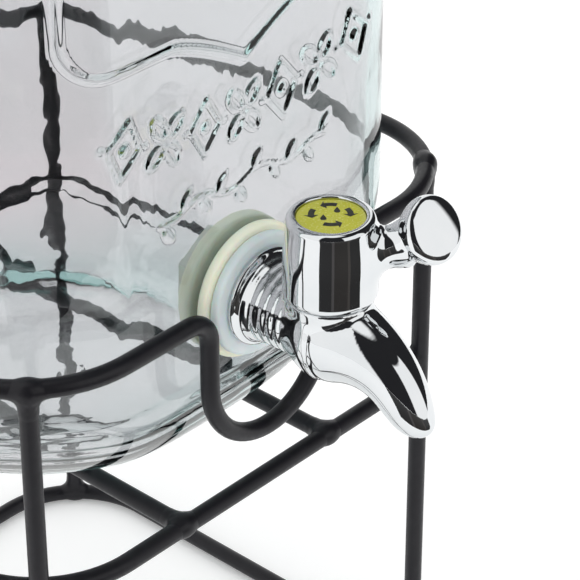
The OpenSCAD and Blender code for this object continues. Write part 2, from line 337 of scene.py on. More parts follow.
def frame_line(x, z):
    """Distance to the raised frame: a bracket with a pointed middle below and above, and upright sides."""
    half, corner, low, high = 68.0, 14.0, 309.0, 400.0
    point_half, point_deep, pieces = 30, 13.8, 15
    ax = np.abs(x)
    out = segment(ax, z, half, low + corner, half, high - corner)
    for z0, up in ((low, 1), (high, -1)):
        zz = (z - z0) * up
        arc = np.abs(np.hypot(ax - half + corner, zz - corner) - corner)
        out = np.where((ax > half - corner) & (zz < corner), np.minimum(out, arc), out)
        for k in range(pieces):
            a, b = k / pieces * point_half, (k + 1) / pieces * point_half
            za, zb = (-point_deep * (1 - s / point_half) ** 1.3 for s in (a, b))
            out = np.minimum(out, segment(ax, zz, a, za, b, zb))
        out = np.minimum(out, segment(ax, zz, point_half, 0, half - corner, 0))
    return out


def lozenge(x, z, w, t):
    return np.abs(np.abs(x) / w + np.abs(z) / t - 1) / math.hypot(1 / w, 1 / t)


def leaf(x, z, length, width):
    """Distance to the outline of a pointed leaf lying along x."""
    r = (length ** 2 + width ** 2) / (2 * width)
    return np.abs(np.hypot(x, np.abs(z) + r - width) - r) + 4 * np.maximum(np.abs(x) - length, 0)


def blade(x, z, length, width, height):
    """A raised solid leaf lying along x."""
    r = (length ** 2 + width ** 2) / (2 * width)
    return height * smooth_step((r - np.hypot(x, np.abs(z) + r - width)) / 1.5)


def turned(x, z, angle):
    """The same place, measured along and across a direction."""
    c, sn = math.cos(angle), math.sin(angle)
    return x * c + z * sn, z * c - x * sn


def motif_band(x, z):
    """Lozenges and rosettes in turn, with dots between them, on a line that rises to both sides."""
    pitch, rise = 16.4, 6.5 / 2500
    out = 0
    for k in range(-3, 4):
        cx = k * pitch
        px, pz = turned(x - cx, z - 278.0 - rise * cx ** 2, math.atan(2 * rise * cx))
        if k % 2:
            d = lozenge(px, pz, 6.2, 9.2)
            d = np.minimum(d, np.maximum(np.hypot(px, pz) - 1.2, 0))
        else:
            petals = [turned(px, pz, math.radians(a)) for a in (52, 128, 232, 308)]
            d = 9.0
            for along, across in petals:
                d = np.minimum(d, leaf(along - 5.6, across, 4.6, 2.2))
        out = np.maximum(out, ridge(d, 1.25, 1.05))
    for k in range(-4, 4):
        cx = (k + 0.5) * pitch
        out = np.maximum(out, ridge(np.hypot(x - cx, z - 278.0 - rise * cx ** 2), 1.7, 0.8))
    return out


def vine(x, z):
    """A waving stem with leaves on alternate sides."""
    reach, sway, leaves, pitch, stalk = 36, 1.8, 10, 7.6, 3.4
    turns = 2 * math.pi / 26
    slope = sway * turns * np.cos(turns * x)
    stem = np.abs(z - 255 - sway * np.sin(turns * x)) / np.sqrt(1 + slope ** 2)
    out = ridge(stem + np.maximum(np.abs(x) - reach, 0), 1.15, 0.85)
    for k in range(leaves):
        cx = (k - (leaves - 1) / 2) * pitch
        side = 1 if k % 2 else -1
        middle = 255 + sway * np.sin(turns * cx) + side * stalk
        along, across = turned(x - cx - 1.5, z - middle, side * 0.95)
        out = np.maximum(out, blade(along, across, 4.6, 2.4, 0.85))
    return out


def relief(x, z):
    """How far the moulded decoration stands out."""
    return np.maximum(np.maximum(ridge(frame_line(x, z), 2.0, 1.25), motif_band(x, z)), vine(x, z))


# ---------------------------------------------------------------- the jar's mesh
def jar_columns():
    """Angles round the jar: close together across the decorated front, wider elsewhere."""
    x = np.arange(-76.0, 76.01, 0.76)
    run = JAR_HALF - JAR_CORNER
    over = np.maximum(np.abs(x) - run, 0)
    y = -(run + np.sqrt(JAR_CORNER ** 2 - over ** 2))
    front = np.arctan2(y, x)
    rest = np.linspace(front[-1], front[0] + 2 * math.pi, 190)[1:-1]
    return np.concatenate([front, rest])


def jar_rows(theta, wall_h):
    """Rings of points from the underside, up the outside, over the rim and down the inside to the floor."""
    cols = len(theta)
    ring = np.stack([np.cos(theta), np.sin(theta)], -1)
    shoulder_h = SHOULDER_H + SHOULDER_R * np.sin(np.radians(np.linspace(0, 86.5, 22)))
    rows, kinds = [], []

    def add(r, h, kind):
        p = np.zeros((cols, 3))
        p[:, :2] = ring * (r + np.zeros(cols))[:, None]
        p[:, 2] = JAR_Z + h
        rows.append(p)
        kinds.append(kind)

    def level(h):
        return np.full(cols, h)

    push_up, foot_rise = 3.2, 0.25
    foot = plan_radius(theta, level(0.0))
    for k in (0.02, 0.2, 0.4, 0.6, 0.75, 0.84, 0.90, 0.94, 0.97):
        lift = push_up * (1 - smooth_step((k - 0.55) / 0.37)) + foot_rise * smooth_step((k - 0.9) / 0.1)
        add(foot * k, lift, "base")
    for h in wall_h:
        hh = level(max(h, 0.6))
        add(plan_radius(theta, hh), hh, "wall")
    for h in shoulder_h[:-1]:
        add(plan_radius(theta, level(h)), h, "shoulder")
    bead_r = 4
    for a in np.radians(np.linspace(8, 90, 7)):
        add(NECK_R + bead_r - bead_r * math.sin(a), NECK_H + bead_r - bead_r * math.cos(a), "neck")
    for h in np.arange(305, 325.5, 0.75):
        thread = max(0, math.cos((h - 313.5) / 3.5 * math.pi)) * (307 < h < 320)
        add(NECK_R + thread, h, "neck")
    lip = (NECK_R - NECK_IN) / 2
    for a in np.radians(np.linspace(0, 180, 13)):
        add(NECK_IN + lip + lip * math.cos(a), RIM_H - lip + lip * math.sin(a), "rim")
    add(NECK_IN, 315.0, "inner")
    add(NECK_IN, NECK_H, "inner")
    for h in shoulder_h[::-1][1:]:
        hh = level(h)
        r = np.maximum(plan_radius(theta, hh, WALL), NECK_IN + 0.3 * (NECK_H - h) ** 0.5)
        add(r + wave(theta, hh), hh - WALL * (h - SHOULDER_H) / SHOULDER_R, "inner")

    floor_h, bend, heel = 8.0, 24.0, 9.0
    for h in wall_h[::-1]:
        if h < floor_h + bend:
            continue
        hh = level(h)
        add(plan_radius(theta, hh, WALL) + wave(theta, hh) + flow(theta, hh), hh, "inner")
    start = plan_radius(theta, level(floor_h + bend), WALL)
    for a in np.radians(np.linspace(4, 90, 26)):
        hh = level(floor_h + bend - bend * math.sin(a))
        add(start - bend * (1 - math.cos(a)) - heel * math.sin(a) + flow(theta, hh), hh, "inner")
    for k in (0.9, 0.75, 0.55, 0.35, 0.2, 0.02):
        add((start - bend - heel) * k, floor_h + 1.0 * (1 - k * k), "inner")
    return np.array(rows), np.array(kinds), len(shoulder_h)


def raise_relief(pts, kind, theta):
    """Moves the outside out along its own normal by the decoration and the two mould seams."""
    along = np.roll(pts, -1, 1) - np.roll(pts, 1, 1)
    normal = np.stack([along[..., 1], -along[..., 0]], -1)
    normal /= np.maximum(np.linalg.norm(normal, axis=-1, keepdims=True), 1e-9)
    front = pts[..., 1] < -40
    lift = relief(pts[..., 0], pts[..., 2]) * (front & (kind == "wall")[:, None])
    for corner in (-135, 45):
        away = np.abs(np.angle(np.exp(1j * (theta - math.radians(corner))))) * 108
        lift = lift + ridge(away, 3.0, 0.22)[None, :] * np.isin(kind, ("wall", "shoulder"))[:, None]
    pts[..., :2] += normal * lift[..., None]


def build_jar():
    theta = jar_columns()
    cols = len(theta)
    wall_h = np.concatenate([np.linspace(0, HEEL_H, 20, endpoint=False), np.arange(HEEL_H, 92, 0.9),
                             np.arange(92, 180, 0.76), np.linspace(180, SHOULDER_H, 30, endpoint=False)])
    pts, kind, n_shoulder = jar_rows(theta, wall_h)
    raise_relief(pts, kind, theta)

    # the tap hole goes through both walls of the grid
    first_out = int(np.argmax(kind == "wall"))
    first_in = int(np.argmax(kind == "inner")) + 2 + n_shoulder - 1
    n_wall = len(wall_h)

    def inner_row(row):
        """The inner row at the height of an outer one."""
        return first_in + (n_wall - 1 - (row - first_out))

    mid = (pts[:-1] + pts[1:]) / 2
    mid = (mid + np.roll(mid, -1, 1)) / 2
    gone = np.zeros((len(pts) - 1, cols), bool)
    for row in range(first_out, first_out + n_wall - 1):
        if wall_h[row - first_out] < HEEL_H:
            continue
        away = np.hypot(mid[row, :, 0], mid[row, :, 2] - TAP_Z)
        hit = (away < HOLE_R) & (mid[row, :, 1] < -60)
        gone[row, hit] = True
        gone[inner_row(row + 1), hit] = True

    bridge = []
    on_edge = set()
    outer_gone = {(int(a), int(b)) for a, b in np.argwhere(gone) if a < first_out + n_wall}
    for a, b in sorted(outer_gone):
        b2 = (b + 1) % cols
        sides = (((a - 1, b), ((a, b), (a, b2))), ((a + 1, b), ((a + 1, b2), (a + 1, b))),
                 ((a, (b - 1) % cols), ((a + 1, b), (a, b))), ((a, b2), ((a, b2), (a + 1, b2))))
        for beside, (p, q) in sides:
            if beside in outer_gone:
                continue
            po, qo = p[0] * cols + p[1], q[0] * cols + q[1]
            pi, qi = inner_row(p[0]) * cols + p[1], inner_row(q[0]) * cols + q[1]
            bridge.append([po, qo, qi, pi])
            on_edge.update((po, qo, pi, qi))
    flat_pts = pts.reshape(-1, 3)
    for v in on_edge:
        dx, dz = flat_pts[v, 0], flat_pts[v, 2] - TAP_Z
        k = HOLE_R / max(math.hypot(dx, dz), 1e-6)
        flat_pts[v, 0], flat_pts[v, 2] = dx * k, TAP_Z + dz * k

    # a small face closes each end of the grid, and points that no face uses are dropped
    keep = grid_faces(len(pts), cols)[~gone.reshape(-1)].tolist()
    under = list(range(cols - 1, -1, -1))
    floor_cap = [(len(pts) - 1) * cols + i for i in range(cols)]
    faces = keep + bridge + [under, floor_cap]
    used = np.zeros(len(flat_pts), bool)
    for f in faces:
        used[f] = True
    new = np.cumsum(used) - 1
    return mesh_object("glass_jar_shell", flat_pts[used], [[int(new[v]) for v in f] for f in faces])


# ---------------------------------------------------------------- the tap
def spout_line(n):
    """The spout's middle line and its radius along it."""
    t = np.linspace(0, 1, n)
    y = TAP_Y + bezier(t, -1.7, -27.4, -29.4, -35.55)
    z = TAP_Z + bezier(t, -1.8, 0.7, -16.6, -18.2)
    r = bezier(t, 14.5, 7.0, 9.6, 4.5)
    return np.stack([np.zeros(n), y, z], -1), r


def tap_neck(p, away):
    """Distance to the neck, which swells into the flange and has faint turned rings."""
    neck_r, swell, ring_high, ring_pitch = 12.7, 2.7, 0.10, 3.1
    ahead = FLANGE_Y - 1.4 - p[..., 1]
    rings = ring_high * np.cos(2 * math.pi * ahead / ring_pitch)
    rings = rings * smooth_step(ahead / 2) * smooth_step((19 - ahead) / 4)
    neck = (away - neck_r - swell * np.exp(-np.maximum(ahead, 0) / 2.4) - rings) * 0.85
    return smooth_max(smooth_max(neck, -ahead - 1, 0.4), TAP_Y - p[..., 1], 0.4)


def tap_shank(p, away):
    """Distance to the threaded shank through the glass."""
    shank_r, thread_deep, thread_pitch = 7.75, 0.22, 1.6
    around = np.arctan2(p[..., 2] - TAP_Z, p[..., 0]) / (2 * math.pi)
    thread = thread_deep * np.sin((p[..., 1] / thread_pitch + around) * 2 * math.pi)
    return smooth_max(away - (shank_r + thread), np.abs(p[..., 1] + 85) - 14, 0.5)


def tap_form(p):
    """Distance to the tap: flange, neck, shank, barrel and a hollow spout, run together as one casting."""
    n = 15 if p.ndim > 2 else 61
    centres, radii = spout_line(n)
    away = np.hypot(p[..., 0], p[..., 2] - TAP_Z)
    flange = rod(p, (0, FLANGE_Y, TAP_Z), (0, FLANGE_Y - 2.2, TAP_Z), 16, 1.0)
    taper = 12.2 + 0.13 * (p[..., 2] - TAP_Z - 4)
    from_axis = np.hypot(p[..., 0], p[..., 1] - TAP_Y)
    barrel = smooth_max(from_axis - taper, np.abs(p[..., 2] - TAP_Z - 2.8) - 11.8, 2.0)
    spout = curve_tube(p, centres, radii)
    body = smooth_min(flange, tap_neck(p, away), 0.6)
    body = smooth_min(body, smooth_min(barrel, spout, 1.6), 2.0)
    under_hub = rod(p, (0, TAP_Y, BARREL_TOP), (0, TAP_Y, BARREL_TOP + 30), 15.2, 0.3)
    body = smooth_max(body, -under_hub, 0.5)
    body = np.minimum(body, tap_shank(p, away))

    # the spout's mouth, and the flow passage through the shank
    wall, passage_r = 1.3, 4.5
    mouth = curve_tube(p, centres[n // 2:], radii[n // 2:] - wall)
    mouth = smooth_max(mouth, p[..., 2] - TAP_Z + 13, 1)
    body = smooth_max(body, (TAP_Z - 22.2) - p[..., 2], 0.7)
    outlet = rod(p, (0, TAP_Y - 33.4, TAP_Z - 30), (0, TAP_Y - 33.4, TAP_Z - 18), 2.7, 0.3)
    body = smooth_max(body, -np.minimum(mouth, outlet), 0.5)
    return smooth_max(body, -np.maximum(away - passage_r, TAP_Y + 12.5 - p[..., 1]), 0.4)


def lever_arm(along, across, z):
    """Distance to the arm, an oval rod that flares at the hub and at the pad."""
    flare = smooth_step((19 - along) / 9)
    cup = smooth_step((along - 15) / 9)
    mid_z = 241.3 + 0.40 * (along - 8)
    tall = 6.5 + 2.0 * flare + 2.4 * cup
    thick = 4.4 + 2.4 * flare + 1.6 * cup
    arm = (np.sqrt((across / thick) ** 2 + ((z - mid_z) / tall) ** 2) - 1) * np.minimum(tall, thick)
    return smooth_max(smooth_max(arm, along - 25.0, 1.4), 2 - along, 1.0)


def thumb_pad(q):
    """Distance to the pad: a tilted oval disc with soft edges, whose face falls away to one side."""
    reach, pad_z = 29.2, 250.6
    half_wide, half_high, half_thick, edge = 9.5, 10.4, 4.6, 3.6
    crown_r, crown_out = 52, 3.9
    d = q - np.array([reach * math.cos(LEVER_AZ), reach * math.sin(LEVER_AZ), pad_z])
    look = math.radians(-114)
    face, crown = unit(-114, 22.5), unit(-102, 32)
    wide = np.array([-math.sin(look), math.cos(look), 0])
    high = np.cross(face, wide)
    side = np.hypot(d @ wide / half_wide, d @ high / half_high) * 10.0 - 10.0
    pad = rounded_corner(side, np.abs(d @ face) - half_thick, edge)
    dome = np.linalg.norm(d - face * crown_out + crown * crown_r, axis=-1) - crown_r
    return smooth_max(pad, dome, 1.2)


def handle_form(p):
    """Distance to the handle: a turned hub with a sunk top, an arm that flares, and a thumb pad."""
    hub_r, hub_taper, hub_edge = 14.3, 0.95, 1.9
    q = p - np.array([0, TAP_Y, 0])
    z = p[..., 2]
    k = (z - HUB_Z) / (HUB_TOP - HUB_Z)
    side = np.hypot(q[..., 0], q[..., 1]) - (hub_r - hub_taper * smooth_step((k - 0.4) / 0.6))
    hub = rounded_corner(side, np.abs(z - (HUB_Z + HUB_TOP) / 2) - (HUB_TOP - HUB_Z) / 2, hub_edge)
    along, across = turned(q[..., 0], q[..., 1], LEVER_AZ)
    form = smooth_min(smooth_min(hub, lever_arm(along, across, z), 3.0), thumb_pad(q), 0.9)
    well = rod(p, (0, TAP_Y, DISC_TOP - 0.9), (0, TAP_Y, HUB_TOP + 6), DISC_R + 0.05, 0.1)
    form = smooth_max(form, -well, 0.35)
    socket = rod(p, (0, TAP_Y, HUB_Z - 6), (0, TAP_Y, HUB_Z + 15), 10.6, 1.0)
    return smooth_max(form, -socket, 0.5)


# ---------------------------------------------------------------- welds
def ring_distance(p, half, corner, z0):
    """Distance to the middle line of a rounded-square ring of wire."""
    ax, ay = np.abs(p[..., 0]), np.abs(p[..., 1])
    run = half - corner
    inside = np.maximum(ax - run, 0), np.maximum(ay - run, 0)
    plan = np.hypot(*inside) - corner + np.minimum(np.maximum(ax - run, ay - run), 0)
    return np.hypot(plan, p[..., 2] - z0)


def leg_line(sx, sy):
    """Distance to the middle line of the leg at a corner, given by the signs of its x and y."""
    def line(p):
        up = p[..., 2] - np.clip(p[..., 2], GROUND_Z, TOP_Z)
        return np.linalg.norm(np.stack([p[..., 0] - sx * LEG_XY, p[..., 1] - sy * LEG_XY, up], -1), axis=-1)
    return line


def bar_line(sx):
    """Distance to the middle line of the support bar on one side."""
    def line(p):
        along = p[..., 1] - np.clip(p[..., 1], -LOW_HALF, LOW_HALF)
        return np.linalg.norm(np.stack([p[..., 0] - sx * BAR_X, along, p[..., 2] - LOW_Z], -1), axis=-1)
    return line


def weld(middle, lines, spread, seed):
    """A fillet of weld metal where two wires meet. Each line gives the distance to one wire's middle."""
    middle = np.array(middle, float)
    ripple_high, swell_high, sink_deep, blend = 0.11, 0.42, 0.30, 3.2

    def form(p):
        d = p - middle
        near = np.linalg.norm(d, axis=-1)
        fade = smooth_step((spread - near) / spread)
        ripple = ripple_high * np.sin(1.9 * d[..., 0] + seed) * np.sin(2.3 * d[..., 1] + 2 * seed)
        ripple = ripple * np.sin(2.1 * d[..., 2] + seed)
        swell = swell_high * fade - sink_deep * smooth_step((near - spread * 0.55) / (spread * 0.45))
        first, second = (line(p) - WIRE_R for line in lines)
        out = np.maximum(smooth_min(first, second, blend) - swell - ripple * fade, near - spread - 0.8)
        return np.maximum(out, 0.05 - p[..., 2])

    reach = spread + 1.5
    return surface_points(form, middle - reach, middle + reach, 0.55, relax=2)


def join(name, parts, body, slot, *replaced, smooth=True):
    """One piece from several sets of points and faces."""
    verts, faces, n = [], [], 0
    for v, f in parts:
        verts.append(v)
        faces += [[int(k) + n for k in face] for face in f]
        n += len(v)
    o = mesh_object(name, np.vstack(verts), faces, smooth)
    return place(o, body, slot, *replaced)


def place(o, body, slot, *replaced):
    """Says which body a piece rides on, which slot its finish comes from and which node it stands for."""
    if replaced:
        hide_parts(*replaced)
    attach(o, body)
    if slot:
        o.data.materials.append(by_slot[slot])
    return o


def build_welds():
    def ring(half, corner, z0):
        return lambda p: ring_distance(p, half, corner, z0)

    top, low = ring(TOP_HALF, TOP_CORNER, TOP_Z), ring(LOW_HALF, LOW_CORNER, LOW_Z)
    ground = ring(GROUND_HALF, GROUND_CORNER, GROUND_Z)
    corners = [(sx, sy) for sx in (-1, 1) for sy in (-1, 1)]
    low_mid = (LEG_XY + LOW_CORNER_XY) / 2

    # piece, node, ring, the welds' x and y, their height, their spread and the seed's steps in x and y
    for piece, node, wire, xy, z, spread, (step_x, step_y) in (
            ("welds_top", "weld_beads_top", top, LEG_XY, TOP_Z - 3, 9.5, (1, 2)),
            ("welds_lower", "weld_beads_lower", low, low_mid, LOW_Z, 7.5, (2, 1)),
            ("welds_ground", "weld_beads_ground", ground, LEG_XY, GROUND_Z + 3, 8.0, (3, 1))):
        beads = [weld((sx * xy, sy * xy, z), [wire, leg_line(sx, sy)], spread, step_x * sx + step_y * sy)
                 for sx, sy in corners]
        join(piece, beads, "stand", "black_wire", node)
    beads = [weld((sx * BAR_X, sy * (LOW_HALF - 3), LOW_Z), [low, bar_line(sx)], 8.0, sx + 4 * sy)
             for sx, sy in corners]
    join("welds_bars", beads, "stand", "black_wire", "weld_beads_bars")


# ---------------------------------------------------------------- washers, disc and lid
def build_washers():
    hole = 8.2

    def washer(name, y, t, r, edge, slot, node):
        prof = rounded([(hole, 0), (r, 0), (r, t), (hole, t)], edge)
        return place(lathe(name, prof, (0, y, TAP_Z), "-y", 128), "jar", slot, node)

    washer("washer_outer", FACE_Y - 3.55, 3.4, 20.2, 1.7, "clear_silicone", "outer_washer")
    washer("gasket_outer", FACE_Y - 0.05, 3.45, 22.3, 1.7, "cream_rubber", "outer_gasket")
    washer("gasket_inner", FACE_Y + WALL + 5.3, 5.0, 22.6, 1.3, "cream_rubber", "inner_gasket")


def build_nut():
    """A round flange with a hexagon on it."""
    thick, flat_r, hexagon_deep = 7.6, 13.6, 5.0
    outline = [(8.2, 0), (18.4, 0), (18.4, 1.8), (15.5, 2.4), (15.5, 7.0), (14.2, thick), (8.2, thick)]
    end_y = FACE_Y + WALL + 5.4 + thick
    nut = lathe("nut_on_shank", rounded(outline, 0.35), (0, end_y, TAP_Z), "-y", 144)
    co = points_mm(nut)
    dx, dz, depth = co[:, 0], co[:, 2] - TAP_Z, end_y - co[:, 1]
    away, ang = np.hypot(dx, dz), np.arctan2(dz, dx)
    flat = flat_r / np.cos((ang + math.pi / 6) % (math.pi / 3) - math.pi / 6)
    k = np.where((away > 10) & (depth < hexagon_deep), np.minimum(flat, away) / away, 1)
    co[:, 0], co[:, 2] = dx * k, TAP_Z + dz * k
    set_points_mm(nut, co)
    place(nut, "jar", "white_plastic", "shank_nut")


def build_disc():
    """The printed disc in the hub, with turning arrows and two plain drops."""
    under, over, edge = DISC_TOP - 0.75, DISC_TOP - 0.02, DISC_R - 0.1
    prof = rounded([(0.05, under), (edge, under), (edge, over), (0.05, over)], 0.2)
    place(lathe("disc_in_hub", prof, (0, TAP_Y, 0)), "handle", "disc_print", "handle_disc")
    toward, turn = math.radians(42.1), math.radians
    mid = np.array([1.3 * math.cos(toward), TAP_Y + 1.3 * math.sin(toward)])
    right = np.array([math.cos(toward - math.pi / 2), math.sin(toward - math.pi / 2)])
    up = np.array([math.cos(toward), math.sin(toward)])
    prints = []

    def print_shape(outline):
        """A thin flat patch from an outline given as right and up in the printed sign's own directions."""
        o = np.array(outline, float)
        flat_xy = mid + o[:, :1] * right + o[:, 1:] * up
        n = len(o)
        low = np.column_stack([flat_xy, np.full(n, DISC_TOP - 0.06)])
        high = np.column_stack([flat_xy, np.full(n, DISC_TOP + 0.05)])
        faces = [list(range(n, 2 * n)), list(range(n - 1, -1, -1))]
        faces += [[i, (i + 1) % n, n + (i + 1) % n, n + i] for i in range(n)]
        prints.append((np.vstack([low, high]), faces))

    def arrow(start, stop):
        """A curved arrow from one angle to another about the sign's middle."""
        way = 1 if stop > start else -1
        shaft = np.radians(np.linspace(start, stop - way * 15, 9))
        ring = [(6.7 * math.cos(a), 6.7 * math.sin(a)) for a in shaft]
        back = [(4.9 * math.cos(a), 4.9 * math.sin(a)) for a in shaft[::-1]]
        e, tip = turn(stop - way * 16), turn(stop)
        head = [(7.9 * math.cos(e), 7.9 * math.sin(e)), (5.8 * math.cos(tip), 5.8 * math.sin(tip)),
                (3.7 * math.cos(e), 3.7 * math.sin(e))]
        outline = ring + head + back
        print_shape(outline if way > 0 else outline[::-1])

    arrow(150, 200)
    arrow(248, 304)
    arrow(36, -12)
    arrow(72, 122)
    for angle in (222, 52):
        cx, cy = 3.0 * math.cos(turn(angle)), 3.0 * math.sin(turn(angle))
        tip = [(cx, cy + 2.0)]
        print_shape(tip + [(cx + 0.95 * math.cos(a), cy - 0.35 + 0.95 * math.sin(a))
                           for a in np.radians(np.linspace(150, 390, 15))])
    join("disc_signs", prints, "handle", None, smooth=False).data.materials.append(ink)


def build_lid():
    """Seal, pressed plate and screw band, which close the neck."""
    rim = JAR_Z + RIM_H
    inner, under, over = NECK_IN + 0.1, rim + 0.02, rim + 1.18
    prof = rounded([(inner, under), (NECK_R, under), (NECK_R, over), (inner, over)], 0.35)
    place(lathe("seal_ring", prof, (0, 0, 0), cols=160), "lid", "lid_seal", "lid_seal")
    plate = rim + 1.2
    outline = [(0.05, 0), (57, 0), (57, 1.2), (50.4, 1.2), (49.2, 0.75), (47.6, 0.75), (46.4, 1.2),
               (44.4, 1.2), (43, 2.38), (34, 2.38), (33, 1.95), (31, 1.95), (30, 2.38), (14, 2.38),
               (13, 2.0), (0.05, 2.0)]
    prof = rounded([(r, plate + h) for r, h in outline], 0.4)
    place(lathe("plate_pressed", prof, (0, 0, 0), cols=192), "lid", "lid_metal", "lid_plate")
    lip = plate + 1.25
    outline = [(59.55, -22), (61.45, -22), (61.45, -19.2), (60.5, -18.4), (60.5, -3.6), (61.4, -2.9),
               (61.4, -1.2), (60.4, 1.18), (52.4, 1.18), (51.2, 0.9), (51.2, 0.06), (59.55, 0.06),
               (59.55, -6), (59.2, -7), (59.2, -8.4), (59.55, -9.4)]
    ribs, rib_deep = 80, 0.0062
    band = lathe("band_ribbed", rounded([(r, lip + h) for r, h in outline], 0.6), (0, 0, 0), cols=480)
    co = points_mm(band)
    away, ang = np.hypot(co[:, 0], co[:, 1]), np.arctan2(co[:, 1], co[:, 0])
    mid = smooth_step((co[:, 2] - lip + 19.0) / 1.5) * smooth_step((lip - 3.2 - co[:, 2]) / 1.5)
    k = 1 - rib_deep * (0.5 + 0.5 * np.cos(ribs * ang)) * mid * (away > 60.1)
    co[:, :2] *= k[:, None]
    set_points_mm(band, co)
    place(band, "band", "band_metal", "screw_band")


# ---------------------------------------------------------------- materials
def new_mat(name):
    m = bpy.data.materials.new(name)
    m.use_nodes = True
    m.node_tree.nodes.clear()
    return m, m.node_tree.nodes, m.node_tree.links


def simple_mat(name, color, rough):
    """A plain finish, for the floor and the dark cards only."""
    m, n, l = new_mat(name)
    out = n.new("ShaderNodeOutputMaterial")
    b = n.new("ShaderNodeBsdfPrincipled")
    b.inputs["Base Color"].default_value = (*color, 1)
    b.inputs["Roughness"].default_value = rough
    l.new(b.outputs["BSDF"], out.inputs["Surface"])
    return m


def noise(n, l, scale, detail=3.0, stretch=(1, 1, 1)):
    """A noise texture in the object's own coordinates, in features per metre."""
    tc = n.new("ShaderNodeTexCoord")
    mp = n.new("ShaderNodeMapping")
    mp.inputs["Scale"].default_value = stretch
    l.new(tc.outputs["Object"], mp.inputs["Vector"])
    no = n.new("ShaderNodeTexNoise")
    no.inputs["Scale"].default_value = scale
    no.inputs["Detail"].default_value = detail
    l.new(mp.outputs["Vector"], no.inputs["Vector"])
    return no.outputs["Fac"]


def remap(n, l, value, lo, hi):
    """Spreads the middle range of a noise value over lo to hi."""
    r = n.new("ShaderNodeMapRange")
    for name, v in (("From Min", 0.3), ("From Max", 0.7), ("To Min", lo), ("To Max", hi)):
        r.inputs[name].default_value = v
    l.new(value, r.inputs["Value"])
    return r.outputs["Result"]


def drifting_color(n, l, b, field, dark_c, light_c):
    """A base colour that drifts between two tones."""
    mix = n.new("ShaderNodeMix")
    mix.data_type = "RGBA"
    l.new(remap(n, l, field, 0, 1), mix.inputs["Factor"])
    mix.inputs["A"].default_value = (*dark_c, 1)
    mix.inputs["B"].default_value = (*light_c, 1)
    l.new(mix.outputs["Result"], b.inputs["Base Color"])


def bumped(n, l, b, field, strength, height_mm):
    """Relief from a noise value, too fine for the mesh."""
    bp = n.new("ShaderNodeBump")
    bp.inputs["Strength"].default_value = strength
    bp.inputs["Distance"].default_value = height_mm * MM
    l.new(field, bp.inputs["Height"])
    l.new(bp.outputs["Normal"], b.inputs["Normal"])


def detailed(name, dark_c, light_c, grain, rough, bump_mm, metallic=0.0, patches=60.0,
             stretch=(1, 1, 1), **sockets):
    """A finish whose colour drifts between two tones, with grain in its gloss and its surface."""
    m, n, l = new_mat(name)
    out = n.new("ShaderNodeOutputMaterial")
    b = n.new("ShaderNodeBsdfPrincipled")
    drifting_color(n, l, b, noise(n, l, patches, 4.0, stretch), dark_c, light_c)
    fine = noise(n, l, grain, 3.0, stretch)
    l.new(remap(n, l, fine, *rough), b.inputs["Roughness"])
    bumped(n, l, b, fine, 0.5, bump_mm)
    b.inputs["Metallic"].default_value = metallic
    for key, v in sockets.items():
        b.inputs[key.replace("_", " ")].default_value = v
    l.new(b.outputs["BSDF"], out.inputs["Surface"])
    return m


def glass_mat():
    """Pressed glass, faintly green where it is thick, with slow waves. Shadow rays pass through it."""
    m, n, l = new_mat("pressed_glass")
    out = n.new("ShaderNodeOutputMaterial")
    b = n.new("ShaderNodeBsdfPrincipled")
    drifting_color(n, l, b, noise(n, l, 22, 2.0), (0.86, 0.787, 0.807), (0.90, 0.817, 0.842))
    l.new(remap(n, l, noise(n, l, 500, 2.0), 0.0, 0.02), b.inputs["Roughness"])
    bumped(n, l, b, noise(n, l, 26, 4.0, (1, 1, 0.55)), 1.0, 0.45)
    b.inputs["IOR"].default_value = 1.52
    b.inputs["Transmission Weight"].default_value = 1.0
    clear = n.new("ShaderNodeBsdfTransparent")
    clear.inputs["Color"].default_value = (0.96, 0.975, 0.97, 1)
    lp = n.new("ShaderNodeLightPath")
    both = n.new("ShaderNodeMixShader")
    l.new(lp.outputs["Is Shadow Ray"], both.inputs["Fac"])
    l.new(b.outputs["BSDF"], both.inputs[1])
    l.new(clear.outputs["BSDF"], both.inputs[2])
    l.new(both.outputs["Shader"], out.inputs["Surface"])
    va = n.new("ShaderNodeVolumeAbsorption")
    va.inputs["Color"].default_value = (0.30, 0.74, 0.69, 1)
    va.inputs["Density"].default_value = 42.0
    l.new(va.outputs["Volume"], out.inputs["Volume"])
    return m


black = detailed("black_powder_coat", (0.0065, 0.006, 0.0085), (0.0100, 0.0093, 0.0125), 900, (0.30, 0.44),
                 0.05, patches=220, Specular_IOR_Level=0.3)
chrome = detailed("polished_chrome", (0.72, 0.745, 0.76), (0.775, 0.79, 0.80), 160, (0.015, 0.035), 0.004,
                  1.0, patches=70)
tin = detailed("pressed_tinplate", (0.60, 0.61, 0.62), (0.68, 0.68, 0.68), 700, (0.20, 0.30), 0.003, 1.0,
               patches=90, stretch=(1, 1, 0.15))
steel = detailed("zinc_plated_steel", (0.52, 0.52, 0.50), (0.66, 0.65, 0.61), 1500, (0.22, 0.38), 0.01, 1.0,
                 patches=300)
silicone = detailed("clear_silicone", (0.74, 0.82, 0.84), (0.82, 0.89, 0.90), 420, (0.30, 0.42), 0.02,
                    patches=140, Subsurface_Weight=0.35, Subsurface_Scale=0.004, Transmission_Weight=0.12,
                    IOR=1.41)
cream = detailed("cream_rubber", (0.90, 0.87, 0.69), (0.94, 0.92, 0.78), 700, (0.38, 0.52), 0.03, patches=120,
                 Subsurface_Weight=0.3, Subsurface_Scale=0.003)
pale = detailed("pale_seal_rubber", (0.72, 0.70, 0.60), (0.80, 0.78, 0.69), 900, (0.42, 0.55), 0.03,
                patches=160)
white = detailed("white_moulded_plastic", (0.80, 0.80, 0.74), (0.86, 0.86, 0.81), 1100, (0.28, 0.40), 0.02,
                 patches=120, Subsurface_Weight=0.2, Subsurface_Scale=0.002)
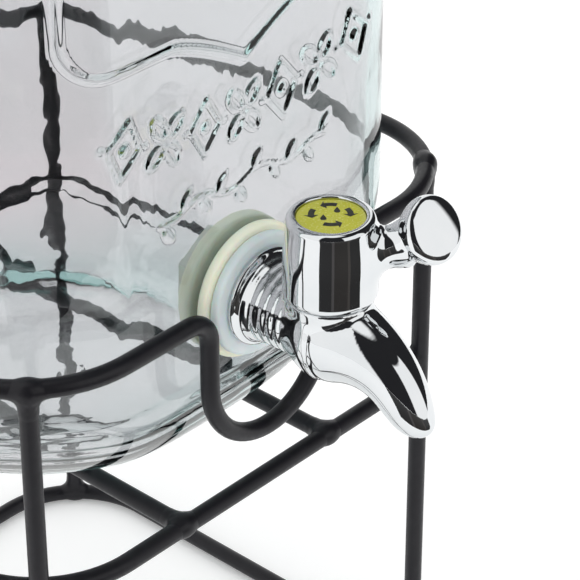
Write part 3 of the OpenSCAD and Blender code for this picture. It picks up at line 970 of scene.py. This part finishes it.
plug = detailed("natural_acetal", (0.76, 0.77, 0.75), (0.84, 0.84, 0.82), 1300, (0.25, 0.36), 0.015,
                patches=180, Subsurface_Weight=0.2, Subsurface_Scale=0.002)
rubber = detailed("black_nitrile_rubber", (0.012, 0.012, 0.012), (0.024, 0.024, 0.023), 1600, (0.42, 0.58),
                  0.02, patches=400)
disc = detailed("printed_foil", (0.53, 0.515, 0.040), (0.57, 0.550, 0.050), 1400, (0.20, 0.30), 0.002,
                patches=160, Coat_Weight=0.5, Coat_Roughness=0.1)
ink = detailed("black_ink", (0.010, 0.010, 0.008), (0.022, 0.021, 0.014), 1800, (0.32, 0.46), 0.006,
               patches=500)
glass = glass_mat()
by_slot = {"black_wire": black, "jar_glass": glass, "lid_seal": pale, "lid_metal": tin, "band_metal": tin,
           "tap_chrome": chrome, "clear_silicone": silicone, "cream_rubber": cream, "white_plastic": white,
           "plug_plastic": plug, "black_rubber": rubber, "screw_steel": steel, "disc_print": disc}
for sp in frame["record"]["subparts"]:
    o = nodes[sp["node"]]
    for i in range(len(o.data.materials)):
        o.data.materials[i] = by_slot[sp["material_slot"]]

place(build_jar(), "jar", "jar_glass", "glass_jar")
place(surface("tap_casting", tap_form, (-19, -168, 192), (19, -68, 236), 0.6),
      "jar", "tap_chrome", "tap_body")
place(surface("tap_lever", handle_form, (-18, -168, 226), (40, -108, 264), 0.5),
      "handle", "tap_chrome", "tap_handle")
build_welds()
build_washers()
build_nut()
build_disc()
build_lid()


# ---------------------------------------------------------------- floor, light, camera
def plane(name, size, z):
    """A level square, in metres."""
    me = bpy.data.meshes.new(name)
    corners = [(-size, -size, z), (size, -size, z), (size, size, z), (-size, size, z)]
    me.from_pydata(corners, [], [(0, 1, 2, 3)])
    o = bpy.data.objects.new(name, me)
    bpy.context.scene.collection.objects.link(o)
    return o


floor = plane("floor", 6, -0.0002)
paper = simple_mat("floor_paper", (0.92, 0.92, 0.92), 0.9)
paper_shader = paper.node_tree.nodes["Principled BSDF"]
paper_shader.inputs["Emission Color"].default_value = (1, 1, 1, 1)
paper_shader.inputs["Emission Strength"].default_value = 0.19
floor.data.materials.append(paper)


def studio_world():
    """White soft boxes all round, with gaps by the camera and on the right that only glossy rays see."""
    w = bpy.data.worlds.new("studio")
    bpy.context.scene.world = w
    w.use_nodes = True
    n, l = w.node_tree.nodes, w.node_tree.links
    bg = n["Background"]
    tc = n.new("ShaderNodeTexCoord")
    sep = n.new("ShaderNodeSeparateXYZ")
    l.new(tc.outputs["Generated"], sep.inputs["Vector"])

    def math_node(op, a, b=None):
        m = n.new("ShaderNodeMath")
        m.operation = op
        for k, v in enumerate((a, b)):
            if v is None:
                continue
            if isinstance(v, (int, float)):
                m.inputs[k].default_value = v
            else:
                l.new(v, m.inputs[k])
        return m.outputs[0]

    def step(value, lo, hi):
        r = n.new("ShaderNodeMapRange")
        r.interpolation_type = "SMOOTHSTEP"
        l.new(value, r.inputs["Value"])
        r.inputs["From Min"].default_value = lo
        r.inputs["From Max"].default_value = hi
        return r.outputs["Result"]

    angle = math_node("ARCTAN2", sep.outputs["Y"], sep.outputs["X"])

    def span(lo_az, hi_az, top):
        """1 inside a span of azimuths in degrees, below an elevation in degrees."""
        mid, half = math.radians((lo_az + hi_az) / 2), math.radians((hi_az - lo_az) / 2)
        side = math_node("ABSOLUTE", math_node("SUBTRACT", angle, mid))
        z = math.sin(math.radians(top))
        across = step(side, half + 0.03, half - 0.03)
        below = step(sep.outputs["Z"], z + 0.02, z - 0.02)
        return math_node("MULTIPLY", across, below)

    gap = math_node("MULTIPLY", span(-166, 22, 74), math_node("SUBTRACT", 1.0, span(-107, -51, 46)))
    lp = n.new("ShaderNodeLightPath")
    gap = math_node("MULTIPLY", gap, lp.outputs["Is Glossy Ray"])
    mix = n.new("ShaderNodeMix")
    mix.data_type = "RGBA"
    l.new(gap, mix.inputs["Factor"])
    mix.inputs["A"].default_value = (1, 1, 1, 1)
    mix.inputs["B"].default_value = (0.02, 0.02, 0.022, 1)
    l.new(mix.outputs["Result"], bg.inputs["Color"])
    bg.inputs["Strength"].default_value = 1.06


def flag(name, lo_az, hi_az, near, far, tone):
    """A dark card on the floor that the camera and diffuse light don't see."""
    fan = np.radians(np.linspace(lo_az, hi_az, 12))
    corners = [(near * math.cos(a), near * math.sin(a) + TAP_Y, 3.0) for a in fan]
    corners += [(far * math.cos(a), far * math.sin(a) + TAP_Y, 3.0) for a in fan[::-1]]
    o = mesh_object(name, corners, [tuple(range(len(corners)))], smooth=False)
    o.data.materials.append(simple_mat(name + "_cloth", tone, 0.9))
    o.visible_camera = False
    o.visible_diffuse = False
    o.visible_shadow = False


studio_world()
cards = ((-165, -136, (0.012, 0.011, 0.012)), (-136, -130, (0.060, 0.054, 0.054)),
         (-130, -98, (0.018, 0.014, 0.012)), (-98, -92, (0.045, 0.038, 0.034)),
         (-92, -65, (0.010, 0.009, 0.009)))
for i, (lo_az, hi_az, tone) in enumerate(cards):
    flag("flag_%d" % i, lo_az, hi_az, 362, 5850, tone)

cam = bpy.data.cameras.new("camera")
cam_o = bpy.data.objects.new("camera", cam)
bpy.context.scene.collection.objects.link(cam_o)
az, el = math.radians(-47.86), math.radians(32.03)
back = Vector((math.sin(az) * math.cos(el), -math.cos(az) * math.cos(el), math.sin(el)))
right = Vector((0, 0, 1)).cross(back).normalized()
up = back.cross(right)
mat = Matrix((right, up, back)).transposed().to_4x4()
mat.translation = Vector((-0.51051, -0.57108, 0.65394))
cam_o.matrix_world = mat
sensor_mm, focal_px, frame_px = 36, 2706.16, 580
cam.sensor_width = sensor_mm
cam.lens = focal_px / frame_px * sensor_mm
cam.clip_start = 0.01
cam.clip_end = 50
bpy.context.scene.camera = cam_o
bpy.context.scene.view_settings.view_transform = "Standard"
